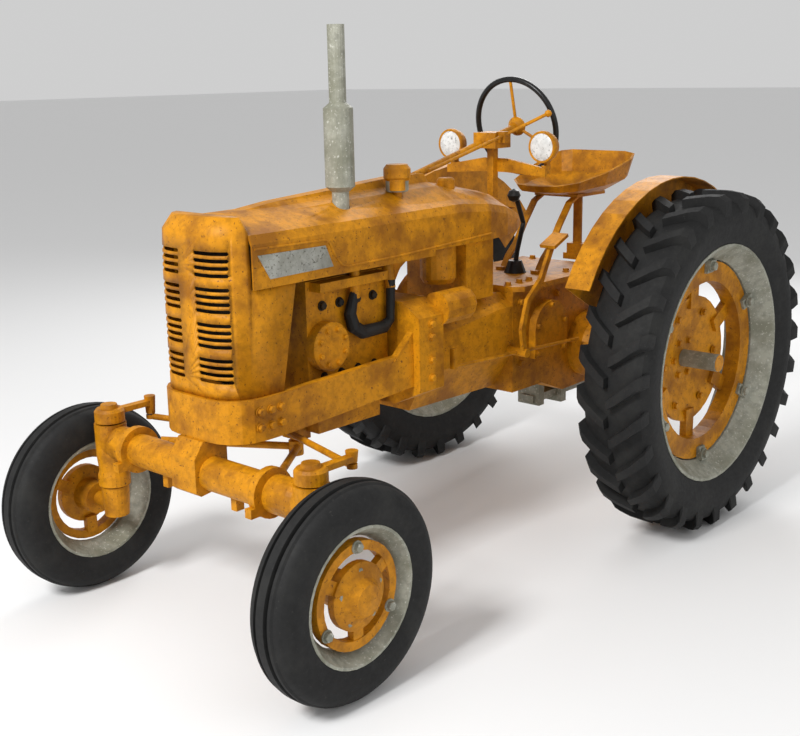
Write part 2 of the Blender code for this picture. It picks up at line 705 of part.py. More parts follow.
def engine():
    block = box("engine_block", (ENGINE_REAR, -ENGINE_HALF, 0.740), (ENGINE_FRONT, ENGINE_HALF, 1.225))
    pan = box("oil_pan", (1.270, -0.110, 0.650), (1.600, 0.110, 0.760))
    cover = box("rocker_cover", (1.270, -0.105, 1.220), (1.630, 0.050, 1.355))
    bracket = box("stay_bracket", (1.580, -0.045, 0.6205), (1.640, 0.045, 0.745))
    dress(join(block, pan, cover, bracket), BLACK, 0.7)

    start = ENGINE_HALF + TOUCH
    profile = [(0, start), (0.090, start), (0.090, 0.172), (0.082, 0.180), (0, 0.180)]
    dress(turned("pump_drum", profile, (1.580, 0, 0.985), "Y", 20), ORANGE)
    path = [(1.440, 0.158, 1.170), (1.468, 0.158, 1.085), (1.452, 0.158, 1.035), (1.405, 0.158, 1.006),
            (1.290, 0.158, 1.006), (1.252, 0.158, 1.030), (1.246, 0.158, 1.180)]
    dress(tube("coolant_hose", path, (0.016, 0.024, 0.026, 0.026, 0.024, 0.018, 0.018), 10), BLACK, 0.7)

    profile = [(0, ENGINE_FRONT + TOUCH), (0.020, ENGINE_FRONT + TOUCH), (0.020, 1.775), (0.045, 1.775), (0.045, 1.832),
               (0, 1.832)]
    hub = turned("cooling_fan", profile, (0, 0, 1.150), "X", 18)
    blades = []
    for k in range(4):
        blade = box(f"fan_blade_{k}", (-0.003, -0.045, 0.030), (0.003, 0.045, 0.195))
        blade.data.transform(Matrix.Rotation(math.radians(28), 4, "Z"))
        blade.data.transform(Matrix.Rotation(math.tau * k / 4 + 0.7, 4, "X"))
        blade.data.transform(Matrix.Translation((1.803, 0, 1.150)))
        blades.append(blade)
    dress(join(hub, *blades), ORANGE)
    dress(box("radiator", (1.868, -0.188, 0.896), (1.940, 0.188, 1.400)), BLACK, 0.6, 0.3)

    starter = turned("starter_motor", [(0, 0.905), (0.056, 0.905), (0.066, 0.920), (0.066, FLYWHEEL_REAR - TOUCH),
                                       (0, FLYWHEEL_REAR - TOUCH)], (0, 0.245, 1.052), "X", 12)
    dress(starter, ORANGE)


# ---------------------------------------------------------------- sheet metal


def grille_shell():
    ledge = GRILLE_LEDGE
    bottom = FRAME_HIGH + TOUCH

    def loop(inset, height):
        return [(x, y, height) for x, y in nose_outline(inset, 1.700)]

    levels = ((ledge, bottom), (ledge, 1.300), (ledge + 0.006, HOOD_SHOULDER), (ledge + 0.040, HOOD_TOP))
    shell = loft("grille_shell", [loop(inset, height) for inset, height in levels])
    wall = SHEET
    levels = ((ledge + wall, bottom - 0.01), (ledge + wall, 1.300), (ledge + wall + 0.006, HOOD_SHOULDER - 0.002),
              (ledge + wall + 0.036, HOOD_TOP - wall))
    hollow = loft("grille_hollow", [[(x - 0.1 if x < 1.75 else x, y, z) for x, y, z in loop(inset, height)]
                                    for inset, height in levels])
    open_rear = prism("grille_rear_cut", ((1.600, 0.80), (GRILLE_REAR_LOW, 0.80), (GRILLE_REAR_LOW, bottom),
                                          (GRILLE_REAR_TOP, HOOD_LOW - TOUCH), (HOOD_FRONT + TOUCH, HOOD_LOW - TOUCH),
                                          (HOOD_FRONT + TOUCH, 1.60), (1.600, 1.60)), "Y", -0.4, 0.4)
    dress(cut(shell, hollow, open_rear), ORANGE)


def hood_section(x, half, shoulder, top, low, inset=0.0, tunnel=0.0):
    """Half-round-shouldered section: flat sides, a soft shoulder, a low crown and the raised shaft tunnel."""
    half -= inset
    top -= inset
    shoulder -= inset
    ridge = TUNNEL_HALF - inset
    right = [(x, -half, low), (x, -half, shoulder - 0.040), (x, -half + 0.014, shoulder - 0.010),
             (x, -half + 0.052, shoulder + 0.006), (x, -ridge - 0.045, top - 0.012), (x, -ridge, top - 0.004 + tunnel * 0.2),
             (x, -ridge + 0.018, top + tunnel)]
    return right + [(x, -y, z) for _, y, z in reversed(right)]


def hood_and_tank():
    stations = ((HOOD_FRONT, HOOD_TOP, 0.0), (1.830, HOOD_TOP + 0.001, 0.0), (1.700, HOOD_TOP + 0.002, 0.014),
                (HOOD_REAR, 1.508, TUNNEL_RISE))
    outer = [hood_section(x, HOOD_HALF, HOOD_SHOULDER, top, HOOD_LOW, 0, rise) for x, top, rise in stations]
    inner = [hood_section(x + (0.01 if x == HOOD_FRONT else -0.01 if x == HOOD_REAR else 0), HOOD_HALF, HOOD_SHOULDER,
                          top, HOOD_LOW - 0.01, SHEET, rise) for x, top, rise in stations]
    hood = loft("hood", outer)
    hole = turned("exhaust_hole", [(0, 1.35), (0.0335, 1.35), (0.0335, 1.60), (0, 1.60)], (1.440, 0.100, 0), "Z", 20)
    stack = turned("stack_hole", [(0, 1.35), (0.0205, 1.35), (0.0205, 1.60), (0, 1.60)], (1.135, 0.100, 0), "Z", 16)
    dress(cut(hood, loft("hood_hollow", inner), hole, stack), ORANGE)

    low = TANK_LOW

    def slice_(x, half, shoulder, top, rise, base):
        return hood_section(x, half, shoulder, top, base, 0, rise)

    sections = [
        slice_(HOOD_REAR - TOUCH, HOOD_HALF, HOOD_SHOULDER, 1.508, TUNNEL_RISE, low),
        slice_(0.900, HOOD_HALF, HOOD_SHOULDER, 1.508, TUNNEL_RISE, low),
        slice_(0.885, HOOD_HALF, HOOD_SHOULDER, 1.505, 0.004, low),
        slice_(0.700, 0.212, 1.425, 1.474, 0.0, low),
        slice_(0.560, 0.190, 1.400, 1.446, 0.0, low),
        slice_(0.440, 0.150, 1.365, 1.405, 0.0, low + 0.004),
        slice_(0.360, 0.108, 1.345, 1.372, 0.0, low + 0.014),
    ]
    tank = loft("fuel_tank", sections)
    bore_axis = [WHEEL_HUB + Vector((math.cos(SHAFT_SLOPE), 0, -math.sin(SHAFT_SLOPE))) * reach for reach in (0.60, 0.72)]
    bore = tube("shaft_tunnel_bore", bore_axis, STEERING_SHAFT_RADIUS + RUNNING, 16)
    socket = box("post_socket", (0.398 - TOUCH, -0.016 - TOUCH, 1.340), (0.432 + TOUCH, 0.016 + TOUCH, 1.50))
    neck = turned("filler_neck", [(0, 1.46), (0.036, 1.46), (0.036, 1.512), (0.028, 1.520), (0, 1.520)],
                  (0.800, 0.060, 0), "Z", 20)
    dress(cut(join(tank, neck), bore, socket), ORANGE)

    dress(box("battery_box", (0.665, -0.120, 1.035), (0.840, 0.195, TANK_LOW - TOUCH)), ORANGE)
    dress(turned("air_cleaner", [(0, 1.120), (0.060, 1.120), (0.072, 1.140), (0.072, TANK_LOW - TOUCH),
                                 (0, TANK_LOW - TOUCH)], (0.925, 0.120, 0), "Z", 20), ORANGE)


def stacks():
    profile = [(0, 1.2255), (0.031, 1.2255), (0.031, 1.521), (0.054, 1.540), (0.054, 1.815), (0.031, 1.834),
               (0.031, 2.100), (0.026, 2.100), (0.026, 1.950), (0, 1.950)]
    dress(turned("exhaust_stack", profile, (1.440, 0.100, 0), "Z", 20), STEEL, 0.6, 0.7)
    profile = [(0, 1.400), (0.018, 1.400), (0.018, 1.535), (0.042, 1.535), (0.052, 1.548), (0.052, 1.582),
               (0.040, 1.598), (0, 1.598)]
    stack = turned("intake_stack", profile, (1.135, 0.100, 0), "Z", 20)
    bowl = turned("pre_cleaner_bowl", [(0, 1.503), (0.030, 1.503), (0.030, 1.545), (0, 1.545)], (1.158, 0.122, 0), "Z", 16)
    dress(join(stack, bowl), ORANGE)


def fender(label, side):
    inner, outer = side * 0.548, side * 0.660
    radius = 0.768
    wall = 0.005
    lip = side * wall
    profile = [(0.520, inner), (0.520, inner + lip), (radius - wall, inner + lip), (radius - wall, outer),
               (radius, outer), (radius, inner)]
    plate = turned(f"fender_{label}", profile, (0, 0, REAR_TYRE_RADIUS), "Y", 16, math.radians(30), math.radians(112))
    low, high = sorted((inner, inner + lip))
    leg = box(f"fender_leg_{label}", (-0.050, low, REAR_TYRE_RADIUS + 0.0805), (0.050, high, REAR_TYRE_RADIUS + 0.560))
    dress(join(plate, leg), ORANGE)


# ---------------------------------------------------------------- driver's place


def drivers_place():
    slope = math.tan(SHAFT_SLOPE)

    def shaft_z(x):
        return WHEEL_HUB.z - (x - WHEEL_HUB.x) * slope

    post = box("steering_support", (0.398, -0.016, 1.3403), (0.432, 0.016, shaft_z(0.415) - 0.02))
    head = box("support_head", (0.395, -0.036, shaft_z(0.450) - 0.030), (0.500, 0.080, shaft_z(0.450) + 0.034))
    way = Vector((math.cos(SHAFT_SLOPE), 0, -math.sin(SHAFT_SLOPE)))
    bore = tube("support_bore", [WHEEL_HUB + way * 0.08, WHEEL_HUB + way * 0.36], STEERING_SHAFT_RADIUS + BEARING, 20)
    rod = tube("throttle_rod", [(0.950, 0.100, 1.560), (0.460, 0.100, 1.672), (0.330, 0.225, 1.755)], 0.0075, 8)
    ball = turned("throttle_ball", [(0, -0.016), (0.011, -0.011), (0.016, 0), (0.011, 0.011), (0, 0.016)],
                  (0.330, 0.225, 1.755), "Z", 12)
    rod_hold = box("rod_hold", (0.440, 0.070, 1.640), (0.480, 0.112, 1.685))
    outline = ((-0.262, 1.500), (-0.262, 1.535), (-0.060, 1.570), (0.060, 1.570), (0.262, 1.535), (0.262, 1.500),
               (0.060, 1.512), (-0.060, 1.512))
    bar = prism("lamp_bar", outline, "X", 0.386, 0.402)
    dress(join(cut(join(post, head), bore), rod_hold, rod, ball, bar), ORANGE)
    for label, side in SIDES:
        profile = [(0, 0.326), (0.030, 0.332), (0.056, 0.355), (0.066, 0.385), (0.066, 0.396), (0.058, 0.402), (0, 0.404)]
        lamp = turned(f"headlamp_{label}", profile, (0, side * 0.244, 1.622), "X", 20)
        stem = box(f"lamp_stem_{label}", (0.352, side * 0.244 - 0.008, 1.540), (0.372, side * 0.244 + 0.008, 1.600))
        foot = box(f"lamp_foot_{label}", (0.352, side * 0.244 - 0.012, 1.510), (0.3857, side * 0.244 + 0.012, 1.545))
        dress(join(lamp, stem, foot), ORANGE)

    rim = [(-0.420, 0.150), (-0.400, 0.205), (-0.330, 0.232), (-0.150, 0.225), (0.020, 0.180), (0.090, 0.110), (0.110, 0.0)]

    def seat_loop(scale, heights):
        half = [(-0.150 + (x + 0.150) * scale, y * scale, heights(x)) for x, y in rim]
        return half + [(x, -y, z) for x, y, z in reversed(half[:-1])]

    def rim_height(x):
        return 1.425 + 0.125 * ((0.110 - x) / 0.530) ** 1.2

    under = [seat_loop(0.55, lambda x: 1.380), seat_loop(0.90, lambda x: 1.395 + 0.4 * (rim_height(x) - 1.425)),
             seat_loop(1.0, rim_height)]
    over = [seat_loop(0.97, lambda x: rim_height(x) + 0.004),
            seat_loop(0.87, lambda x: 1.403 + 0.4 * (rim_height(x) - 1.425)), seat_loop(0.52, lambda x: 1.388)]
    dress(loft("seat_pan", under + over), ORANGE)

    post = tube("seat_support", [(-0.245, 0, 1.070), (-0.245, 0, 1.372)], 0.022, 12)
    shapes = [
        box("post_head", (-0.290, -0.118, 1.366), (-0.060, 0.118, 1.3797)),
        box("post_foot", (-0.290, -0.050, DECK_TOP + TOUCH), (-0.200, 0.050, 1.085)),
        box("post_ears", (-0.275, -0.040, 1.080), (-0.215, 0.040, 1.130)),
    ]
    route = [(-0.095, 1.373), (-0.028, 1.345), (0.052, 1.250), (0.112, 1.165), (0.170, 1.115), (0.206, 1.065)]
    for label, side in SIDES:
        low, high = sorted((side * 0.080, side * 0.112))
        shapes.append(prism(f"seat_strap_{label}", strip(route, 0.010), "Y", low, high))
        low, high = sorted((side * 0.076, side * 0.116))
        shapes.append(box(f"strap_foot_{label}", (0.190, low, DECK_TOP + TOUCH), (0.240, high, 1.070)))
    dress(join(post, *shapes), BLACK, 0.6)

    route = [(0.585, 0.790), (0.604, 0.895), (0.566, 1.008), (0.470, 1.086), (0.395, 1.222)]
    arm = prism("clutch_pedal", strip(route, 0.026), "Y", 0.290, 0.306)
    shapes = [
        prism("pedal_pad", strip([(0.335, 1.258), (0.432, 1.216)], 0.014), "Y", 0.262, 0.338),
        turned("pedal_shaft", [(0, CASE_HALF + TOUCH), (0.018, CASE_HALF + TOUCH), (0.018, 0.315), (0, 0.315)],
               (0.585, 0, 0.792), "Y", 16),
        tube("control_rod", [(1.010, 0.268, 0.812), (0.140, 0.268, 0.770)], 0.0075, 8),
        box("rod_crank", (1.000, 0.258, 0.805), (1.022, 0.278, 0.885)),
    ]
    dress(join(arm, *shapes), ORANGE)

    lever = tube("gear_lever", [(0.250, 0, 1.080), (0.235, 0, 1.150), (0.190, 0, 1.270), (0.240, 0, 1.380)], 0.011, 10)
    knob = turned("gear_knob", [(0, -0.030), (0.021, -0.021), (0.030, 0), (0.021, 0.021), (0, 0.030)], (0.261, 0, 1.398), "Z", 16)
    tower = turned("lever_tower", [(0, DECK_TOP + TOUCH), (0.050, DECK_TOP + TOUCH), (0.030, 1.110), (0, 1.110)],
                   (0.250, 0, 0), "Z", 16)
    dress(join(lever, knob, tower), BLACK, 0.4)


for wheel_label, wheel_side in SIDES:
    rear_wheel(wheel_label, wheel_side)
    front_wheel(wheel_label, wheel_side)
    knuckle(wheel_label, wheel_side)
    fender(wheel_label, wheel_side)
front_axle()
steering_linkage()
steering_wheel()
front_frame()
drive_line()
engine()
grille_shell()
hood_and_tank()
stacks()
drivers_place()
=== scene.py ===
"""The looks of a worn farm tractor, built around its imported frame.

Every sub-assembly is a class that takes its places from the frame's own nodes, and every finish is one frozen
record of colours and wear. Lengths are in metres. Points in the tables are measured from the rear axle on the
ground, and the function at() turns them into points of the row frame.
"""

from __future__ import annotations

import json
import logging
import math
from dataclasses import dataclass
from enum import Enum
from typing import Iterable, NamedTuple, Sequence

import bmesh
import bpy
from mathutils import Matrix, Vector


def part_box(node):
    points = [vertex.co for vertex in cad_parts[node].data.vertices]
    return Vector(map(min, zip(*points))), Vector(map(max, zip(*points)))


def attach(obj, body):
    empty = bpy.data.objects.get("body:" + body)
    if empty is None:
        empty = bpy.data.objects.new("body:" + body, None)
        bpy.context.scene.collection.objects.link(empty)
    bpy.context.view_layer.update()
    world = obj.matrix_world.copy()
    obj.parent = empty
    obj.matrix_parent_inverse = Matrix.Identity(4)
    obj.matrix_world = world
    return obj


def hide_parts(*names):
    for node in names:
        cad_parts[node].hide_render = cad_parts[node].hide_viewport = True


LOG = logging.getLogger("tractor")

Point = Sequence[float]
Colour = tuple[float, float, float]
Outline = tuple[tuple[float, float], ...]

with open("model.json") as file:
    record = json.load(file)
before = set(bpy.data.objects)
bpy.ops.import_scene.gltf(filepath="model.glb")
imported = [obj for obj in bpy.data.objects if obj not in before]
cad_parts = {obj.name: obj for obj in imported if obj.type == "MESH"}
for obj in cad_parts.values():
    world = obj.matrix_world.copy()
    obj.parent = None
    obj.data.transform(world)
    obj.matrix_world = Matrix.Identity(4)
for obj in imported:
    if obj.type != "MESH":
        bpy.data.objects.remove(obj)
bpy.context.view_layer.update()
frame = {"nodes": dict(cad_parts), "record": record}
SIDES = (("left", 1), ("right", -1))
UP = Vector((0, 0, 1))


def middle(node: str) -> Vector:
    """The middle of a CAD node's box."""
    low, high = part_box(node)
    return (low + high) / 2


REAR_AXLE_X: float = middle("rear_tyre_left").x


def at(x: float, y: float, z: float) -> Vector:
    """A point given from the rear axle, as a point of the row frame."""
    return Vector((x + REAR_AXLE_X, y, z))


def wheel_turn(centre: Vector, degrees: float = 90) -> Matrix:
    """The matrix that lays a lathe's axis along Y, at a wheel's centre."""
    return Matrix.Translation(centre) @ Matrix.Rotation(math.radians(degrees), 4, "X")


class Slot(Enum):
    """The record's material slots."""

    TYRE = "tyre_rubber"
    PAINT = "orange_paint"
    BARE = "galvanised_metal"
    IRON = "dark_iron"
    HOSE = "black_rubber"
    PLASTIC = "black_plastic"
    CORE = "radiator_core"


# ---------------------------------------------------------------- finishes


class NoiseLayer(NamedTuple):
    """One noise texture: its scale, its detail and where in the noise it starts."""

    scale: float
    detail: float
    start: Point


BROAD_WEAR = NoiseLayer(7, 8, (3, 1, 2))
CLOUDING = NoiseLayer(34, 9, (1, 7, 4))
CHIPS = NoiseLayer(95, 6, (9, 2, 6))
POLISH = NoiseLayer(60, 8, (5, 5, 1))


class NodeGraph:
    """Adds linked nodes to one material."""

    noise_spread = 0.42  # how far a share of one half moves the noise's level
    noise_roughness = 0.62

    def __init__(self, material: bpy.types.Material) -> None:
        """Starts from the material's own nodes and the object's coordinates."""
        self.nodes = material.node_tree.nodes
        self.links = material.node_tree.links
        self.place = self.nodes.new("ShaderNodeTexCoord").outputs["Object"]

    def noise(self, layer: NoiseLayer) -> bpy.types.NodeSocket:
        """Adds a noise texture.

        Args:
            layer: Its scale, detail and start.

        Returns:
            Its value, 0 to 1.
        """
        shift = self.nodes.new("ShaderNodeVectorMath")
        shift.inputs[1].default_value = layer.start
        self.links.new(self.place, shift.inputs[0])
        texture = self.nodes.new("ShaderNodeTexNoise")
        texture.inputs["Scale"].default_value = layer.scale
        texture.inputs["Detail"].default_value = layer.detail
        texture.inputs["Roughness"].default_value = self.noise_roughness
        self.links.new(shift.outputs[0], texture.inputs["Vector"])
        return texture.outputs["Fac"]

    def patches(self, layer: NoiseLayer, share: float, soft: float) -> bpy.types.NodeSocket:
        """Adds a mask of patches.

        Args:
            layer: The noise that shapes them.
            share: The share of the surface that they take.
            soft: How soft their edges are, as noise value.

        Returns:
            The mask, 1 inside the patches.
        """
        level = 0.5 + (0.5 - share) * self.noise_spread
        ramp = self.nodes.new("ShaderNodeMapRange")
        ramp.inputs["From Min"].default_value = level - soft
        ramp.inputs["From Max"].default_value = level + soft
        self.links.new(self.noise(layer), ramp.inputs["Value"])
        return ramp.outputs["Result"]

    def lay_over(self, mask: bpy.types.NodeSocket, under: bpy.types.NodeSocket | Colour,
                 over: Colour) -> bpy.types.NodeSocket:
        """Lays a colour over another.

        Args:
            mask: Where the new colour shows.
            under: The colour beneath, fixed or from a node.
            over: The new colour.

        Returns:
            The mixed colour.
        """
        node = self.nodes.new("ShaderNodeMix")
        node.data_type = "RGBA"
        self.links.new(mask, node.inputs["Factor"])
        if isinstance(under, bpy.types.NodeSocket):
            self.links.new(under, node.inputs["A"])
        else:
            node.inputs["A"].default_value = (*under, 1)
        node.inputs["B"].default_value = (*over, 1)
        return node.outputs["Result"]


@dataclass(frozen=True)
class Finish:
    """A weathered surface: a base colour broken up by clouds, patches, chips and fine bumps.

    Attributes:
        name: What the material is called.
        slot: The record's slot.
        base: Main colour, linear.
        patch: Colour of the broad worn patches.
        chip: Colour of the small chips.
        patch_share: Share of the surface that the patches take, 0 to 1.
        chip_share: Share that the chips take, 0 to 1.
        roughness: Mean roughness.
        metallic: Metalness of the base.
        bump: Depth of the fine bumps, in millimetres.
        grain: Scale of the bumps' noise.
        specular: The shader's specular level.
    """

    name: str
    slot: Slot
    base: Colour
    patch: Colour
    chip: Colour
    patch_share: float
    chip_share: float
    roughness: float
    metallic: float
    bump: float
    grain: float
    specular: float = 0.3

    shade = 0.72
    bump_strength = 0.55

    def build(self) -> bpy.types.Material:
        """Makes the node material, or returns it if it is there.

        Returns:
            The material.
        """
        found = bpy.data.materials.get(self.name)
        if found:
            return found
        material = bpy.data.materials.new(self.name)
        material.use_nodes = True
        graph = NodeGraph(material)
        shader = graph.nodes["Principled BSDF"]
        shaded = tuple(channel * self.shade for channel in self.base)
        colour = graph.lay_over(graph.patches(CLOUDING, self.patch_share, 0.10), self.base, shaded)
        colour = graph.lay_over(graph.patches(BROAD_WEAR, self.patch_share, 0.09), colour, self.patch)
        colour = graph.lay_over(graph.patches(CHIPS, self.chip_share, 0.035), colour, self.chip)
        graph.links.new(colour, shader.inputs["Base Color"])
        rough = graph.nodes.new("ShaderNodeMapRange")
        rough.inputs["To Min"].default_value = max(0.05, self.roughness - 0.14)
        rough.inputs["To Max"].default_value = min(1.0, self.roughness + 0.16)
        graph.links.new(graph.noise(POLISH), rough.inputs["Value"])
        graph.links.new(rough.outputs["Result"], shader.inputs["Roughness"])
        shader.inputs["Metallic"].default_value = self.metallic
        shader.inputs["Specular IOR Level"].default_value = self.specular
        bump = graph.nodes.new("ShaderNodeBump")
        bump.inputs["Strength"].default_value = self.bump_strength
        bump.inputs["Distance"].default_value = self.bump / 1000
        graph.links.new(graph.noise(NoiseLayer(self.grain, 7, (0, 4, 8))), bump.inputs["Height"])
        graph.links.new(bump.outputs["Normal"], shader.inputs["Normal"])
        return material


PAINT = Finish("worn_enamel", Slot.PAINT, (0.560, 0.225, 0.003), (0.270, 0.098, 0.003), (0.130, 0.045, 0.005),
               0.38, 0.16, 0.52, 0.0, 0.8, 150, 0.22)
BARE = Finish("weathered_metal", Slot.BARE, (0.34, 0.34, 0.28), (0.20, 0.20, 0.15), (0.48, 0.48, 0.42),
              0.42, 0.20, 0.55, 0.15, 0.8, 120)
TYRE = Finish("dusty_tyre", Slot.TYRE, (0.010, 0.010, 0.010), (0.017, 0.017, 0.016), (0.028, 0.027, 0.025),
              0.35, 0.10, 0.72, 0.0, 0.5, 220)
IRON = Finish("oily_iron", Slot.IRON, (0.016, 0.014, 0.011), (0.040, 0.024, 0.010), (0.07, 0.04, 0.015),
              0.35, 0.18, 0.55, 0.3, 0.9, 130)
HOSE = Finish("hose_rubber", Slot.HOSE, (0.008, 0.008, 0.008), (0.014, 0.014, 0.013), (0.02, 0.02, 0.019),
              0.35, 0.10, 0.6, 0.0, 0.3, 260)
PLASTIC = Finish("worn_black", Slot.PLASTIC, (0.008, 0.008, 0.008), (0.014, 0.014, 0.013),
                 (0.035, 0.03, 0.025), 0.30, 0.12, 0.32, 0.0, 0.2, 260)
CORE = Finish("core_fins", Slot.CORE, (0.014, 0.012, 0.009), (0.03, 0.022, 0.012), (0.05, 0.035, 0.02),
              0.40, 0.20, 0.6, 0.4, 0.8, 300)
LENS = Finish("lamp_lens", Slot.BARE, (0.72, 0.72, 0.70), (0.52, 0.52, 0.50), (0.20, 0.19, 0.17),
              0.35, 0.22, 0.25, 0.0, 0.5, 150)
BADGE = Finish("blank_badge", Slot.BARE, (0.38, 0.38, 0.34), (0.24, 0.24, 0.20), (0.10, 0.09, 0.07),
               0.42, 0.22, 0.5, 0.2, 0.6, 150)
FINISH_OF_SLOT = {f.slot.value: f for f in (PAINT, BARE, TYRE, IRON, HOSE, PLASTIC, CORE)}


# ---------------------------------------------------------------- meshes


class Meshes:
    """Ways to make a mesh object."""

    # A bolt's sizes, as shares of the size it is asked for
    washer_radius = 0.72
    washer_height = 0.14
    head_radius = 0.55
    head_top_radius = 0.46
    head_base = 0.10
    head_height = 0.62
    head_chamfer = 0.06

    @staticmethod
    def place(name: str, shape: bmesh.types.BMesh, crease: float = 35) -> bpy.types.Object:
        """Turns a bmesh into a linked object with its faces outwards.

        Args:
            name: The piece's name.
            shape: The mesh data, which is freed.
            crease: Edges sharper than this many degrees stay sharp.

        Returns:
            The object.
        """
        bmesh.ops.recalc_face_normals(shape, faces=shape.faces)
        mesh = bpy.data.meshes.new(name)
        shape.to_mesh(mesh)
        shape.free()
        mesh.shade_smooth()
        mesh.set_sharp_from_angle(angle=math.radians(crease))
        piece = bpy.data.objects.new(name, mesh)
        bpy.context.scene.collection.objects.link(piece)
        return piece

    @staticmethod
    def add_loft(shape: bmesh.types.BMesh, loops: Iterable[Iterable[Point]]) -> None:
        """Adds a capped skin over loops of as many points each.

        Args:
            shape: The mesh data to add to.
            loops: The loops, from one end to the other.
        """
        rings = [[shape.verts.new(point) for point in loop] for loop in loops]
        for one, two in zip(rings, rings[1:]):
            for i in range(len(one)):
                j = (i + 1) % len(one)
                shape.faces.new((one[i], one[j], two[j], two[i]))
        shape.faces.new(rings[0])
        shape.faces.new(rings[-1])

    @staticmethod
    def add_lathe(shape: bmesh.types.BMesh, profile: Sequence[tuple[float, float]], turn: Matrix,
                  sides: int) -> None:
        """Adds a solid of revolution. A profile with no end on the axis makes a ring.

        Args:
            shape: The mesh data to add to.
            profile: Pairs of radius and height.
            turn: Takes the lathe's +Z axis to its place.
            sides: How many facets go round.
        """
        rings: list[list[bmesh.types.BMVert]] = []
        for radius, height in profile:
            if radius < 1e-6:
                rings.append([shape.verts.new(turn @ Vector((0, 0, height)))])
                continue
            ring = []
            for k in range(sides):
                a = math.tau * k / sides
                spot = Vector((radius * math.cos(a), radius * math.sin(a), height))
                ring.append(shape.verts.new(turn @ spot))
            rings.append(ring)
        pairs = list(zip(rings, rings[1:]))
        if len(rings[0]) > 1 and len(rings[-1]) > 1:
            pairs.append((rings[-1], rings[0]))
        for one, two in pairs:
            for i in range(sides):
                j = (i + 1) % sides
                corners: list[bmesh.types.BMVert] = []
                for vert in (one[i % len(one)], one[j % len(one)], two[j % len(two)], two[i % len(two)]):
                    if vert not in corners:
                        corners.append(vert)
                if len(corners) > 2:
                    shape.faces.new(corners)

    @staticmethod
    def add_tube(shape: bmesh.types.BMesh, points: Sequence[Point], radius: float, sides: int) -> None:
        """Adds a round bar.

        Args:
            shape: The mesh data to add to.
            points: The bar's middle line.
            radius: The bar's radius.
            sides: How many facets go round.
        """
        path = [Vector(p) for p in points]
        turns = [math.tau * k / sides for k in range(sides)]
        side: Vector | None = None
        loops = []
        for i, p in enumerate(path):
            way = (path[min(i + 1, len(path) - 1)] - path[max(i - 1, 0)]).normalized()
            if side is None:
                side = way.orthogonal().normalized()
            else:
                side = (side - way * side.dot(way)).normalized()
            other = way.cross(side)
            loops.append([p + radius * (math.cos(a) * side + math.sin(a) * other) for a in turns])
        Meshes.add_loft(shape, loops)

    @classmethod
    def add_bolt(cls, shape: bmesh.types.BMesh, spot: Vector, way: Vector, size: float) -> None:
        """Adds a hexagon head with a chamfered top, on a washer.

        Args:
            shape: The mesh data to add to.
            spot: Where it stands.
            way: The way it points.
            size: The head's width.
        """
        turn = Matrix.Translation(spot) @ way.to_track_quat("Z", "Y").to_matrix().to_4x4()
        edge, thick = size * cls.washer_radius, size * cls.washer_height
        cls.add_lathe(shape, ((0, 0), (edge, 0), (edge, thick), (0, thick)), turn, 16)
        edge, base, high = size * cls.head_radius, size * cls.head_base, size * cls.head_height
        profile = ((0, base), (edge, base), (edge, high - size * cls.head_chamfer),
                   (size * cls.head_top_radius, high), (0, high))
        cls.add_lathe(shape, profile, turn, 6)


def dress(piece: bpy.types.Object, finish: Finish, body: str, *stood_for: str) -> bpy.types.Object:
    """Gives a new piece its finish and the body it rides on.

    Args:
        piece: The piece, in place.
        finish: Its finish.
        body: The CAD body it moves with.
        stood_for: CAD nodes that it replaces.

    Returns:
        The piece.
    """
    piece.data.materials.clear()
    piece.data.materials.append(finish.build())
    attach(piece, body)
    if stood_for:
        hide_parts(*stood_for)
    LOG.info("%s rides on %s", piece.name, body)
    return piece


@dataclass
class KeptNodes:
    """The CAD nodes that stay, with the finish of their slot.

    Attributes:
        crease: Edges sharper than this many degrees stay sharp.
    """

    crease: float = 32.0

    def build(self) -> None:
        """Finishes every CAD node."""
        slots = {row["node"]: row["material_slot"] for row in frame["record"]["subparts"]}
        for name, node in frame["nodes"].items():
            finish = FINISH_OF_SLOT[slots[name]]
            node.data.materials.clear()
            node.data.materials.append(finish.build())
            node.data.shade_smooth()
            node.data.set_sharp_from_angle(angle=math.radians(self.crease))
            LOG.info("%s kept with %s", name, finish.name)


# ---------------------------------------------------------------- wheels


class BarStation(NamedTuple):
    """One section of a tread bar, from the middle of the tread outwards."""

    across: float  # from the wheel's middle plane
    drop: float  # of the bar's top, below the tyre's full radius
    sink: float  # of the bar's foot, below the tread's floor
    turned: float  # how far round it has swept, 0 to 1
    wide: float  # its width, as a share of the bar's own


